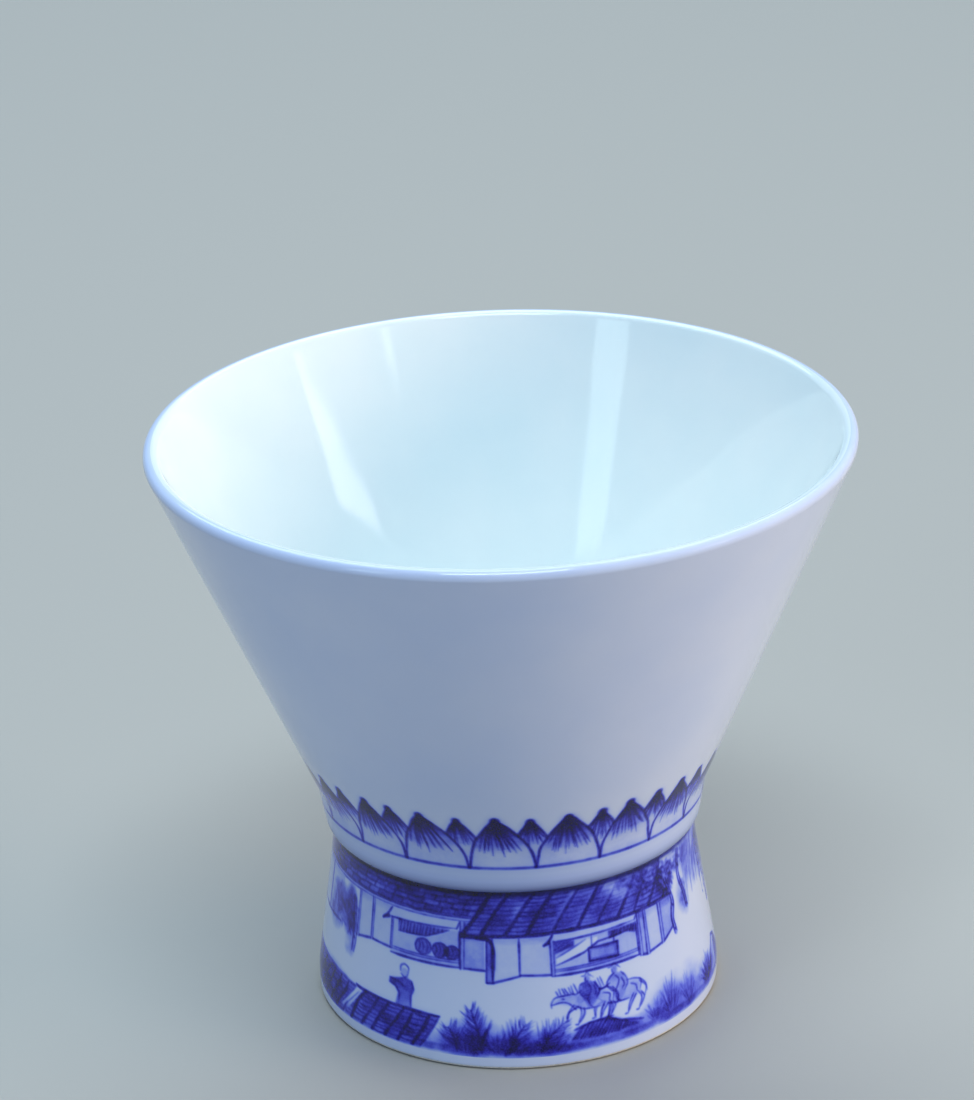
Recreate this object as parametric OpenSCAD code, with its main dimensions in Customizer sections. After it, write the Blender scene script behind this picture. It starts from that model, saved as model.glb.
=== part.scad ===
// A porcelain teacup with no handle: a straight-sided conical bowl with a rolled ridge round its
// bottom, on a hollow waisted foot. The bowl and the foot are formed apart and joined with slip,
// painted in cobalt, covered with clear glaze and fired into one piece.
// Millimetres. +Z is up. The origin is the middle of the circle that the cup stands on.

/* [Bowl] */
// Diameter over the rim
rim_d = 76; // [72:0.5:82]
// Height of the whole cup
cup_h = 65.3; // [63:0.1:70]
// Angle of the outer wall from upright, in degrees
wall_angle = 23.1; // [19:0.05:24]
// Thickness of the wall at the lip, over both coats of glaze
lip_t = 1.7; // [1.6:0.1:2.4]
// Thickness of the wall at the bottom of the bowl
wall_t = 2.6; // [2.4:0.1:3.2]
// Height of the inside floor above the table
floor_z = 24.8; // [24.4:0.1:26]
// Thickness of the floor
floor_t = 3.6; // [3.2:0.1:3.8]
// Radius between the inside wall and the floor
floor_round = 8; // [4:0.5:10]

/* [Ridge] */
// Height where the wall steepens into the ridge
neck_z = 25.6; // [25:0.1:27]
// Height where the side of the ridge turns under
ridge_z = 20.9; // [20.8:0.05:21.1]
// Angle of the side of the ridge from upright, in degrees
ridge_angle = 9.5; // [6:0.5:12]
// How far the ridge stands out past the foot
ridge_overhang = 0.7; // [0.6:0.05:1.2]

/* [Foot] */
// How far the base stands out past the waist
base_flare = 2.3; // [1.6:0.1:2.6]
// Height of the waist, below which the foot flares
waist_z = 17.9; // [17:0.1:18]
// Height of the shoulder where the flare turns upright again
shoulder_z = 2.5; // [2.4:0.1:3.5]
// Thickness of the foot's wall at the waist
foot_wall = 2.4; // [2.2:0.1:3]
// Width of the ring that the cup stands on
ring_w = 2.8; // [2.4:0.1:3.4]
// Thickness of the layer of slip between the foot and the bowl
slip_t = 0.3; // [0.2:0.05:0.4]

/* [Glaze and cobalt] */
// Thickness of the clear glaze
glaze_t = 0.3; // [0.2:0.05:0.35]
// Thickness of the cobalt under the glaze
cobalt_t = 0.1; // [0.05:0.01:0.12]
// Height up to which the foot ring is left bare
bare_h = 0.45; // [0.35:0.05:0.6]
// Height of the line under the petals
petal_line_z = 24.1; // [23:0.1:25]
// Height of the tips of the petals
petal_tip_z = 31.2; // [29:0.1:33]
// Height of the bottom of the village scene
scene_bottom_z = 1.6; // [1.2:0.1:3]
// Height of the top of the village scene
scene_top_z = 19.6; // [18:0.1:19.7]
// Width of the two banding lines, measured upright
line_w = 0.4; // [0.25:0.05:0.5]

/* [Hidden] */

$fn = 96;
arc_step = 7.5;      // degrees between the points of an arc
lip_round = 0.8;     // rounding of each edge of the lip
neck_round = 6;      // blend between the wall and the ridge
ridge_round = 1.4;   // lower edge of the ridge
ridge_drop = 0.55;   // height of the ridge's sloping underside
crease_round = 0.3;  // crease where the ridge meets the foot
waist_round = 26;    // hollow curve of the waist
shoulder_round = 12; // curve of the shoulder above the base
ring_round = 0.6;    // edges of the foot ring
hollow_round = 2.4;  // corner between the foot's inner wall and its ceiling
bend_round = 8;      // bend of the foot's inner wall at the waist
slip_z = 19.9;       // underside of the layer of slip
far = 100;           // a length past every edge of the cup

// The outer wall, from the round of the lip down to the neck
wall_slope = tan(wall_angle);
wall_run = 1 / cos(wall_angle);
lip_out_r = rim_d / 2 - lip_round + lip_round * wall_run + lip_round * wall_slope;
lip_in_r = lip_out_r - lip_t * wall_run;
neck_r = lip_out_r - (cup_h - neck_z) * wall_slope;
floor_r = lip_out_r - (cup_h - floor_z) * wall_slope - wall_t * wall_run;
ceiling_z = floor_z - floor_t;

// The ridge, the crease under it and the foot
ridge_r = neck_r - (neck_z - ridge_z) * tan(ridge_angle);
waist_r = ridge_r - ridge_overhang;
crease_z = ridge_z - ridge_drop;
base_r = waist_r + base_flare;
ring_r = base_r - ring_w;
hollow_r = waist_r - foot_wall;

// Corners of the glazed section, as [radius, height, rounding]. They run from the middle of the
// inside floor, up over the lip, down the outside and back up to the ceiling of the foot.
CORNERS = [
    [floor_r, floor_z, floor_round],
    [lip_in_r, cup_h, lip_round],
    [lip_out_r, cup_h, lip_round],
    [neck_r, neck_z, neck_round],
    [ridge_r, ridge_z, ridge_round],
    [waist_r, crease_z, crease_round],
    [waist_r, waist_z, waist_round],
    [base_r, shoulder_z, shoulder_round],
    [base_r, 0, ring_round],
    [ring_r, 0, ring_round],
    [hollow_r, waist_z, bend_round],
    [hollow_r, ceiling_z, hollow_round],
];
FIRST = [0, floor_z];
LAST = [0, ceiling_z];

function spot(i) = i < 0 ? FIRST : i == len(CORNERS) ? LAST : [CORNERS[i][0], CORNERS[i][1]];
function heading(i) = let (way = spot(i) - spot(i - 1)) way / norm(way);
function outward(way) = [-way[1], way[0]];

// Points of the arc that rounds corner i, on the section's surface moved inwards by depth.
// A hollow corner has a negative radius, so the same sum shrinks one kind and widens the other.
function round_corner(i, depth) =
    let (
        a = heading(i),
        b = heading(i + 1),
        swing = atan2(a[0] * b[1] - a[1] * b[0], a * b),
        radius = CORNERS[i][2] * (swing < 0 ? 1 : -1),
        centre = spot(i) - radius * (outward(a) + outward(b)) / (1 + a * b),
        start = atan2(outward(a)[1], outward(a)[0]),
        count = ceil(abs(swing) / arc_step) + 1
    )
    [for (k = [0:count]) let (t = start + swing * k / count)
        centre + (radius - depth) * [cos(t), sin(t)]];

function outline(depth) = concat(
    [[0, floor_z - depth]],
    [for (i = [0:len(CORNERS) - 1]) each round_corner(i, depth)],
    [[0, ceiling_z + depth]]
);

// The section of the cup, with everything within depth of its surface taken off
module section(depth) {
    polygon(outline(depth));
}

// A strip of the section between two heights
module strip(low, high) {
    translate([0, low]) square([far, high - low]);
}

// The clay: the section under the glaze, with the bare ring at full size
module clay_section() {
    section(glaze_t);
    intersection() {
        section(0);
        strip(-1, bare_h);
    }
}

// Everything on the cavity's side of the middle of the bowl's wall
module cavity_side() {
    polygon([
        [0, floor_z - floor_t / 2],
        [floor_r + 0.3 * wall_t, floor_z - 0.4 * floor_t],
        [(lip_in_r + lip_out_r) / 2 - lip_round * wall_slope, cup_h - lip_round],
        [rim_d / 2 - lip_round - 0.05, cup_h],
        [rim_d / 2 - lip_round - 0.05, far],
        [0, far]
    ]);
}

// Everything on the hollow's side of the middle of the foot's wall
module hollow_side() {
    polygon([
        [0, -1],
        [base_r - ring_w / 2, -1],
        [base_r - ring_w / 2, 0],
        [waist_r - foot_wall / 2, waist_z],
        [waist_r - foot_wall / 2, ceiling_z + floor_t / 4],
        [0, ceiling_z + floor_t / 2]
    ]);
}

// A layer of cobalt on the outside of the clay, between two heights
module cobalt_section(low, high) {
    intersection() {
        difference() {
            section(glaze_t - cobalt_t);
            section(glaze_t);
            cavity_side();
            hollow_side();
        }
        strip(low, high);
    }
}

module petal_band_section() {
    cobalt_section(petal_line_z + line_w / 2, petal_tip_z);
}

module petal_line_section() {
    cobalt_section(petal_line_z - line_w / 2, petal_line_z + line_w / 2);
}

module foot_line_section() {
    cobalt_section(scene_top_z, scene_top_z + line_w);
}

module scene_section() {
    cobalt_section(scene_bottom_z, scene_top_z);
}

// All the glaze: the skin of the section, above the bare ring
module glaze_section() {
    intersection() {
        difference() {
            section(0);
            section(glaze_t);
        }
        strip(bare_h, far);
    }
}

// Porcelain bowl, with the ridge and a short ring under it that meets the foot
module bowl() {
    color("white") rotate_extrude() intersection() {
        clay_section();
        strip(slip_z + slip_t, far);
    }
}

// Slip that joins the bowl to the foot
module luting_slip() {
    color("gainsboro") rotate_extrude() intersection() {
        clay_section();
        strip(slip_z, slip_z + slip_t);
    }
}

// Porcelain foot, a waisted tube that ends in the bare ring
module foot() {
    color("whitesmoke") rotate_extrude() intersection() {
        clay_section();
        strip(-1, slip_z);
    }
}

module petal_band_painting() {
    color("slateblue") rotate_extrude() petal_band_section();
}

module petal_base_line() {
    color("mediumblue") rotate_extrude() petal_line_section();
}

module foot_top_line() {
    color("mediumblue") rotate_extrude() foot_line_section();
}

module village_scene_painting() {
    color("royalblue") rotate_extrude() scene_section();
}

// Clear glaze poured into the bowl, up to the middle of the lip
module inside_glaze() {
    color([0.82, 0.93, 0.97, 0.5]) rotate_extrude() intersection() {
        glaze_section();
        cavity_side();
    }
}

// Clear glaze from the middle of the lip down to the base, over the cobalt
module outside_glaze() {
    color([0.88, 0.92, 0.97, 0.4]) rotate_extrude() difference() {
        glaze_section();
        cavity_side();
        hollow_side();
        petal_band_section();
        petal_line_section();
        foot_line_section();
        scene_section();
    }
}

// Clear glaze inside the hollow foot
module foot_hollow_glaze() {
    color([0.85, 0.9, 0.95, 0.5]) rotate_extrude() intersection() {
        glaze_section();
        hollow_side();
    }
}

bowl();
luting_slip();
foot();
petal_band_painting();
petal_base_line();
foot_top_line();
village_scene_painting();
inside_glaze();
outside_glaze();
foot_hollow_glaze();
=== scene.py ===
# The looks of a porcelain teacup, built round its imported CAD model. Metres, +Z up.
# The cup's surfaces are turned as smooth meshes. The two painted bands are laid flat, painted stroke
# by stroke as an amount of cobalt, and wrapped back round the cup as a value on their vertices.
import math

import bpy
import numpy as np
from mathutils import Matrix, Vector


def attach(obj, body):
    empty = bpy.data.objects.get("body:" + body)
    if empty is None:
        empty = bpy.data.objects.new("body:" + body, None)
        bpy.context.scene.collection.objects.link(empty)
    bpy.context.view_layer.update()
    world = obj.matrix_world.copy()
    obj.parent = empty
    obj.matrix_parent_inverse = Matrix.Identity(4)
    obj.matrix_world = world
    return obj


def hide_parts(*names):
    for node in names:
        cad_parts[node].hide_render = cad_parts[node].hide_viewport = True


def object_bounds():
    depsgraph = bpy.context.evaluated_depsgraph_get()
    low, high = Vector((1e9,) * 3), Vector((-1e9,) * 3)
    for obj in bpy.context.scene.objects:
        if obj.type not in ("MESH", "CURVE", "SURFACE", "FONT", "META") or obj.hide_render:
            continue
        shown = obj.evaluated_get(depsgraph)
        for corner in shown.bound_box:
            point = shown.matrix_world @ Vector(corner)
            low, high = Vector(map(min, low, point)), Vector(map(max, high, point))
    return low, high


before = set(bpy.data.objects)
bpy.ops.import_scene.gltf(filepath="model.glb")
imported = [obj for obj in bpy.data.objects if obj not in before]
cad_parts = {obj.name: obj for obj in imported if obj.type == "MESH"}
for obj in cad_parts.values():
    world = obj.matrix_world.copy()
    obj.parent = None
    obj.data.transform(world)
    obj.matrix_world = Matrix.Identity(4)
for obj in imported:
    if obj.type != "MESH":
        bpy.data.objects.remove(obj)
cad_low, cad_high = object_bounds()

MM = 0.001
RIM_R = cad_high.x
CUP_H = cad_high.z

# ------------------------------------------------------------------ camera, floor and light

# Where the photograph was taken from. Angles are in radians
CAMERA_BACK = 10.77    # in rim radii, in front of the middle of the cup's base
CAMERA_UP = 5.9865     # in rim radii, above it
CAMERA_PITCH = 0.4062
CAMERA_YAW = -0.0045
CAMERA_ROLL = -0.0362
CAMERA_LENS = 135.5    # in millimetres, as the sensor's width is
CAMERA_SENSOR = 36
CAMERA_NEAR = 0.01     # in metres
CAMERA_FAR = 20
FLOOR_SIZE = 6.0


def srgb(*display):
    """A display colour, each of its parts 0 to 255, as linear red, green, blue and 1."""
    parts = [value / 255 for value in display]
    return (*(v / 12.92 if v <= 0.04045 else ((v + 0.055) / 1.055) ** 2.4 for v in parts), 1.0)


def put(name, data, matrix):
    """A camera or light at a place, turned as the matrix says."""
    made = bpy.data.objects.new(name, data)
    made.matrix_world = matrix
    bpy.context.scene.collection.objects.link(made)
    return made


def facing(azimuth, elevation, roll=0.0):
    """The turn of a camera or light that looks back from a direction. Azimuth 0 is towards -Y, the
    front, and a quarter turn is +X."""
    around, up = Matrix.Rotation(azimuth, 4, "Z"), Matrix.Rotation(math.pi / 2 - elevation, 4, "X")
    return around @ up @ Matrix.Rotation(roll, 4, "Z")


def make_camera():
    """The camera at the photograph's place and angle."""
    data = bpy.data.cameras.new("camera")
    data.lens = CAMERA_LENS
    data.sensor_width = CAMERA_SENSOR
    data.clip_start = CAMERA_NEAR
    data.clip_end = CAMERA_FAR
    place = Matrix.Translation((0, -CAMERA_BACK * RIM_R, CAMERA_UP * RIM_R))
    camera = put("camera", data, place @ facing(-CAMERA_YAW, CAMERA_PITCH, CAMERA_ROLL))
    bpy.context.scene.camera = camera


def soft_box(name, azimuth, elevation, distance, wide, tall, watts, colour, mirrored=True, spread=180):
    """An area light in a direction from the cup, in degrees, that the glaze mirrors or doesn't."""
    data = bpy.data.lights.new(name, "AREA")
    data.shape = "RECTANGLE"
    data.size, data.size_y = wide, tall
    data.energy = watts
    data.color = srgb(*colour)[:3]
    data.spread = math.radians(spread)
    middle, away = Matrix.Translation((0, 0, CUP_H / 2)), Matrix.Translation((0, 0, distance))
    light = put(name, data, middle @ facing(math.radians(azimuth), math.radians(elevation)) @ away)
    light.visible_glossy = mirrored


def make_lights():
    """Soft boxes round the cup, under a pale blue sky."""
    world = bpy.data.worlds.new("world")
    world.use_nodes = True
    background = world.node_tree.nodes["Background"]
    background.inputs["Color"].default_value = srgb(156, 190, 250)
    background.inputs["Strength"].default_value = 0.33
    bpy.context.scene.world = world
    soft_box("sky_panel", 186, 54, 1.3, 1.2, 0.9, 12.5, (216, 238, 242))
    soft_box("front_panel", 0, 70, 1.3, 0.6, 0.4, 9.5, (214, 235, 249))
    soft_box("right_panel", 84, 11, 1.1, 0.9, 0.36, 2.3, (255, 234, 208), mirrored=False, spread=90)
    soft_box("right_window", 68, 18.5, 1.2, 0.34, 0.13, 0.6, (245, 248, 255))
    soft_box("far_window", 41, 28.5, 1.3, 0.06, 0.06, 0.05, (235, 248, 255))
    soft_box("left_window", -43, 24, 1.3, 0.26, 0.5, 1.2, (214, 244, 250))
    bpy.context.scene.view_settings.view_transform = "Standard"


def make_floor():
    """The plain pale floor."""
    half = FLOOR_SIZE / 2
    mesh = bpy.data.meshes.new("floor")
    mesh.from_pydata([(x, y, 0) for x, y in box(-half, half, -half, half)], [], [(0, 1, 2, 3)])
    floor = bpy.data.objects.new("floor", mesh)
    bpy.context.scene.collection.objects.link(floor)
    material = bpy.data.materials.new("floor")
    material.use_nodes = True
    shader = material.node_tree.nodes["Principled BSDF"]
    shader.inputs["Base Color"].default_value = srgb(180, 174, 165)
    shader.inputs["Roughness"].default_value = 0.6
    mesh.materials.append(material)


# ------------------------------------------------------------------ section of the cup

# The CAD model's driving dimensions, in millimetres, and in degrees from upright
RIM_MM = round(RIM_R / MM, 1)
TOP_Z = round(CUP_H / MM, 1)
WALL_ANGLE = 23.1    # of the outer wall
RIDGE_ANGLE = 9.5    # of the ridge's side
LIP_T = 1.7          # thickness of the wall at the lip
LIP_ROUND = 0.8      # rounding of each edge of the lip
WALL_T = 2.6         # thickness of the wall at the bottom of the bowl
FLOOR_Z = 24.8       # inside floor
NECK_Z = 25.6        # where the wall steepens into the ridge
RIDGE_Z = 20.9       # lower edge of the ridge
CREASE_Z = 20.35     # crease under the ridge
WAIST_Z = 17.9       # waist of the foot, which flares below it
SHOULDER_Z = 2.5     # where the flare turns upright again
CEILING_Z = 21.2     # ceiling of the hollow foot
OVERHANG = 0.7       # how far the ridge stands out past the waist
FLARE = 2.3          # how far the base stands out past the waist
FOOT_WALL = 2.4      # thickness of the foot's wall
RING_W = 2.8         # width of the foot ring, with its rounded edges
RING_ROUND = 0.6     # rounding of its edges
BARE_H = 0.45        # height up to which it is bare

COAT = 0.26          # thickness of every turned shell
ARC_STEP = math.radians(2.5)
CROWDED = 0.04       # points of a line nearer each other than this are thinned out
TINY = 1e-6          # anything smaller than this counts as nothing
SHARP = math.radians(40)

# Edges of the painted bands, in millimetres above the table
PETAL_LOW = 23.6
PETAL_HIGH = 32.0
SCENE_LOW = 1.5
SCENE_HIGH = 20.5                             # just past the crease
SEAMS = (SCENE_HIGH, 14.5, 7.7, SCENE_LOW)    # where the scene is cut into three meshes
MEAN_R = 21.0                                 # radius at which a band is as wide as it is drawn
GIRTH = 2 * math.pi * MEAN_R


def cup_corners():
    """Corners of the glazed section as radius, height and rounding, from the inside floor over the lip
    and down the outside to the ceiling of the foot."""
    slope = math.tan(math.radians(WALL_ANGLE))
    slant = 1 / math.cos(math.radians(WALL_ANGLE))
    lip_r = RIM_MM + LIP_ROUND * (slant + slope - 1)
    neck_r = lip_r - (TOP_Z - NECK_Z) * slope
    ridge_r = neck_r - (NECK_Z - RIDGE_Z) * math.tan(math.radians(RIDGE_ANGLE))
    waist_r = ridge_r - OVERHANG
    base_r = waist_r + FLARE
    hollow_r = waist_r - FOOT_WALL
    return [
        (lip_r - (TOP_Z - FLOOR_Z) * slope - WALL_T * slant, FLOOR_Z, 8.0),
        (lip_r - LIP_T * slant, TOP_Z, LIP_ROUND),
        (lip_r, TOP_Z, LIP_ROUND),
        (neck_r, NECK_Z, 6.0),
        (ridge_r, RIDGE_Z, 1.4),
        (waist_r, CREASE_Z, 0.3),
        (waist_r, WAIST_Z, 26.0),
        (base_r, SHOULDER_Z, 12.0),
        (base_r, 0.0, RING_ROUND),
        (base_r - RING_W, 0.0, RING_ROUND),
        (hollow_r, WAIST_Z, 8.0),
        (hollow_r, CEILING_Z, 2.4),
    ]


def left_of(ways):
    """Each way made one long and turned a quarter to its left, which is outwards."""
    ways = ways / np.linalg.norm(ways, axis=1)[:, None]
    return np.column_stack([-ways[:, 1], ways[:, 0]])


def section():
    """The glazed section as an array of radius and height, with every corner rounded."""
    corners = cup_corners()
    spots = np.array([(0, FLOOR_Z)] + [corner[:2] for corner in corners] + [(0, CEILING_Z)])
    outward = left_of(np.diff(spots, axis=0))
    points = [spots[0]]
    for i, corner in enumerate(corners):
        a, b = outward[i], outward[i + 1]
        swing = math.atan2(a[0] * b[1] - a[1] * b[0], a @ b)
        turn = corner[2] if swing < 0 else -corner[2]
        centre = spots[i + 1] - turn * (a + b) / (1 + a @ b)
        start = math.atan2(a[1], a[0])
        for t in np.linspace(start, start + swing, 2 + int(abs(swing) / ARC_STEP)):
            points.append(centre + turn * np.array([math.cos(t), math.sin(t)]))
    points.append(spots[-1])
    return np.array(points)


SECTION = section()
LIP = int(np.argmax(SECTION[:, 1]))                  # start of the flat on top of the lip
RING = int(np.argmax(SECTION[:, 1] < TINY))       # start of the flat under the foot ring
LIP_TOP = (SECTION[LIP] + SECTION[LIP + 1]) / 2
INSIDE = np.vstack([SECTION[:LIP + 1], LIP_TOP])
OUTSIDE = np.vstack([LIP_TOP, SECTION[LIP + 1:RING + 1]])
HOLLOW = SECTION[RING + 1:]


def stretch(line, start_z, end_z):
    """The part of a line between two heights, which it passes once each. None is the line's own end."""
    def cut(height):
        for k in range(len(line) - 1):
            a, b = line[k], line[k + 1]
            if (a[1] - height) * (b[1] - height) <= 0 and a[1] != b[1]:
                share = (height - a[1]) / (b[1] - a[1])
                return k + share, a + share * (b - a)
        raise ValueError(f"the line doesn't reach {height}")
    first, first_spot = (0, line[0]) if start_z is None else cut(start_z)
    last, last_spot = (len(line) - 1, line[-1]) if end_z is None else cut(end_z)
    middle = line[int(math.floor(first)) + 1:int(math.ceil(last))]
    return np.vstack([first_spot, middle, last_spot])


def even(line, step):
    """The same line with points no further apart than step, and none crowded on the one before."""
    points = [line[0]]
    for k, spot in enumerate(line[1:], 1):
        start = points[-1]
        gap = np.linalg.norm(spot - start)
        if gap < CROWDED and k < len(line) - 1:
            continue
        count = max(1, math.ceil(gap / step - TINY))
        points += [start + (spot - start) * n / count for n in range(1, count + 1)]
    return np.array(points)


def backed(line, depth):
    """The line moved into the wall by depth. A point on the axis stays on it."""
    moved = line - depth * left_of(np.gradient(line, axis=0))
    moved[line[:, 0] < TINY, 0] = 0
    return moved


def turned(name, lines, turns, step):
    """A mesh of closed shells. Each line is a face of the cup, turned with rows no further apart than
    step, and backed by a coarser face inside the wall."""
    corners, faces, count = [], [], 0
    angles = np.arange(turns) * 2 * math.pi / turns
    around = np.column_stack([np.sin(angles), -np.cos(angles), np.zeros(turns)])
    for line in lines:
        coarse = np.vstack([line[:-1:3], line[-1]])
        rings = []
        for radius, height in np.vstack([even(line, step), backed(coarse, COAT)[::-1]]):
            ring = around if radius > TINY else around[:1]
            corners.append((ring * radius + (0, 0, height)) * MM)
            rings.append(count + np.arange(turns + 1) % len(ring))
            count += len(ring)
        for here, there in zip(rings, rings[1:] + rings[:1]):
            sides = [here[:-1], there[:-1], there[1:], here[1:]]
            if here[0] == here[1]:
                sides = sides[:3]
            if there[0] == there[1]:
                sides.pop(2)
            if len(sides) > 2:
                faces += np.column_stack(sides).tolist()
    mesh = bpy.data.meshes.new(name)
    mesh.from_pydata(np.vstack(corners).tolist(), [], faces)
    mesh.polygons.foreach_set("use_smooth", [True] * len(mesh.polygons))
    mesh.set_sharp_from_angle(angle=SHARP)
    mesh.update()
    piece = bpy.data.objects.new(name, mesh)
    bpy.context.scene.collection.objects.link(piece)
    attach(piece, "root")
    return piece


# ------------------------------------------------------------------ painting on a flat sheet

class Sheet:
    """A painted band laid flat, as an amount of cobalt in each of its cells. Places on it are pairs of
    millimetres: x round the cup from the front, to the right, and z up from the table."""

    FINENESS = 14   # cells in a millimetre
    STEPS = 1.4     # points of a stroke in the width of a cell
    TAPER = 6       # a stroke's ends taper over its length divided by this
    WAVER = 0.12    # how much its width comes and goes, and how fast, in radians a millimetre
    WAVER_RATE = 1.7
    PATCHY = 0.15   # how much its ink comes and goes, and how fast
    PATCHY_RATE = 2.3
    FULL = 1.25     # ink at its start, next to the ink asked for
    SPENT = 0.3     # how much of that is gone by its end
    EDGE = 0.15     # width of the darker edge of a wash
    GRAIN = 0.18    # unevenness of the finished cobalt
    HALO = 0.07     # share of the cobalt that runs out into a halo
    SHORT = 1.001   # how far short of a count an index stays, to have a next one

    def __init__(self, low, high, seed):
        self.low = low
        self.columns = round(GIRTH * self.FINENESS)
        self.fine = self.columns / GIRTH
        self.ink = np.zeros((round((high - low) * self.fine), self.columns))
        self.chance = np.random.default_rng(seed)
        self.vary = self.chance.uniform
        self.cloud = self.mottle(2.5) * 0.6 + self.mottle(0.8) * 0.4

    def mottle(self, size):
        """Soft noise from -1 to 1 over the sheet, in blobs of about that size, meeting at the seam."""
        rows, columns = self.ink.shape
        across = max(4, round(GIRTH / size))
        up = max(3, round(rows / self.fine / size) + 2)
        knots = self.vary(-1, 1, (up, across))
        v = np.linspace(0, up - self.SHORT, rows)[:, None]
        return sampled(knots, v, np.arange(columns) * across / columns, smooth=True)

    def window(self, low, high):
        """The cells inside a box: their rows, their columns, and the x and z of their middles."""
        x = np.arange(math.floor(low[0] * self.fine), math.ceil(high[0] * self.fine) + 1)
        top = self.ink.shape[0] - 1
        first = min(max(math.floor((low[1] - self.low) * self.fine), 0), top)
        last = min(max(math.ceil((high[1] - self.low) * self.fine), 0), top)
        z = np.arange(first, last + 1)
        cells = np.ix_(z, x % self.columns)
        return cells, (x[None, :] + 0.5) / self.fine, (z[:, None] + 0.5) / self.fine + self.low

    def line(self, points, width, ink, thin=(0.35, 0.35), soft=0.05, curved=True, shake=0.03):
        """A brush stroke through the points. thin is how narrow it starts and ends, next to width."""
        points = np.array(points, float)
        points += self.chance.normal(0, shake, points.shape)
        length = np.linalg.norm(np.diff(points, axis=0), axis=1).sum()
        count = max(4, int(length * self.fine * self.STEPS))
        t = np.linspace(0, len(points) - 1, count)
        path = smooth_path(points, t) if curved and len(points) > 2 else straight_path(points, t)
        share = np.linspace(0, 1, count)
        start = thin[0] + share * self.TAPER * (1 - thin[0])
        end = thin[1] + (1 - share) * self.TAPER * (1 - thin[1])
        wave = self.vary(0, 6.3)  # about a whole turn, so any phase
        swell = 1 + self.WAVER * np.sin(share * length * self.WAVER_RATE + wave)
        patches = 1 + self.PATCHY * np.sin(share * length * self.PATCHY_RATE + wave * 2)
        radius = width / 2 * np.minimum(1, np.minimum(start, end)) * swell
        self.dabs(path, radius, ink * (self.FULL - self.SPENT * share) * patches, soft)

    def dabs(self, path, radius, ink, soft):
        """A soft round dab at each place on a path. Where they overlap, only the darkest counts."""
        reach = radius.max() + soft + 1 / self.fine
        cells, x, z = self.window(path.min(0) - reach, path.max(0) + reach)
        layer = np.zeros((z.shape[0], x.shape[1]))
        span = int(math.ceil(reach * self.fine))
        near = np.arange(-span, span + 1)
        left, bottom = x[0, 0], z[0, 0]
        column = np.round((path[:, 0] - left) * self.fine).astype(int)
        row = np.round((path[:, 1] - bottom) * self.fine).astype(int)
        rows, columns = np.broadcast_arrays(row[:, None, None] + near[:, None], column[:, None, None] + near)
        dx = left + columns / self.fine - path[:, 0, None, None]
        dz = bottom + rows / self.fine - path[:, 1, None, None]
        gap = np.hypot(dx, dz) - radius[:, None, None]
        amount = np.clip(0.5 - gap / (2 * soft), 0, 1) * ink[:, None, None]
        good = (rows >= 0) & (rows < layer.shape[0]) & (columns >= 0) & (columns < layer.shape[1])
        np.maximum.at(layer, (rows[good], columns[good]), amount[good])
        self.ink[cells] += layer

    def inside(self, outline, soft):
        """The cells near a closed outline, how far each is covered by it, and its distance inside."""
        outline = np.array(outline, float)
        cells, x, z = self.window(outline.min(0) - soft, outline.max(0) + soft)
        gap = np.full((z.shape[0], x.shape[1]), np.inf)
        within = np.zeros(gap.shape, bool)
        for a, b in zip(outline, np.roll(outline, -1, axis=0)):
            edge = b - a
            share = np.clip(((x - a[0]) * edge[0] + (z - a[1]) * edge[1]) / (edge @ edge + TINY ** 2), 0, 1)
            gap = np.minimum(gap, np.hypot(x - a[0] - share * edge[0], z - a[1] - share * edge[1]))
            if a[1] != b[1]:
                crosses = (a[1] > z) != (b[1] > z)
                within ^= crosses & (x < a[0] + (z - a[1]) * edge[0] / edge[1])
        gap = np.where(within, gap, -gap)
        return cells, np.clip(0.5 + gap / (2 * soft), 0, 1), gap, x, z

    def wash(self, outline, ink, soft=0.12, pool=0.25, mottled=0.35, fade=None):
        """A patch of dilute cobalt, darker along its edge. fade runs from a place to a clear place."""
        cells, cover, gap, x, z = self.inside(outline, soft)
        amount = ink * cover * (1 + pool * np.exp(-np.maximum(gap, 0) / self.EDGE))
        amount = amount * (1 + mottled * self.cloud[cells])
        if fade:
            (x0, z0), (x1, z1) = fade
            along = (x - x0) * (x1 - x0) + (z - z0) * (z1 - z0)
            amount = amount * np.clip(1 - along / ((x1 - x0) ** 2 + (z1 - z0) ** 2), 0, 1)
        self.ink[cells] += amount

    def belt(self, low, high, ink, soft=0.2, mottled=0.7):
        """A band of cobalt all the way round, between two heights."""
        z = (np.arange(self.ink.shape[0]) + 0.5) / self.fine + self.low
        cover = np.clip(0.5 + np.minimum(z - low, high - z) / (2 * soft), 0, 1)
        self.ink += ink * cover[:, None] * (1 + mottled * self.cloud)

    def clear(self, outline, left=0.0, soft=0.05):
        """Keeps only a share of what is painted inside the outline."""
        cells, cover, *_ = self.inside(outline, soft)
        self.ink[cells] *= 1 - (1 - left) * cover

    def over(self, outline, ink, left=0.0, **style):
        """Clears the outline and washes it, for what stands in front."""
        self.clear(outline, left)
        self.wash(outline, ink, **style)

    def within(self, outline, paint, *what, **how):
        """Calls paint with the rest, and keeps only what it changes inside the outline."""
        before = self.ink.copy()
        paint(*what, **how)
        cells, cover, *_ = self.inside(outline, 0.05)
        changed = self.ink[cells] - before[cells]
        self.ink = before
        self.ink[cells] += changed * cover

    def settled(self):
        """How dark each cell looks, 0 to 1, with the strokes a little run and a faint halo round them."""
        ink = self.ink * (1 + self.GRAIN * self.mottle(0.35))
        return 1 - np.exp(-(1 - self.HALO) * run(ink, 1, 1) - self.HALO * run(ink, 4, 3))

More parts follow.
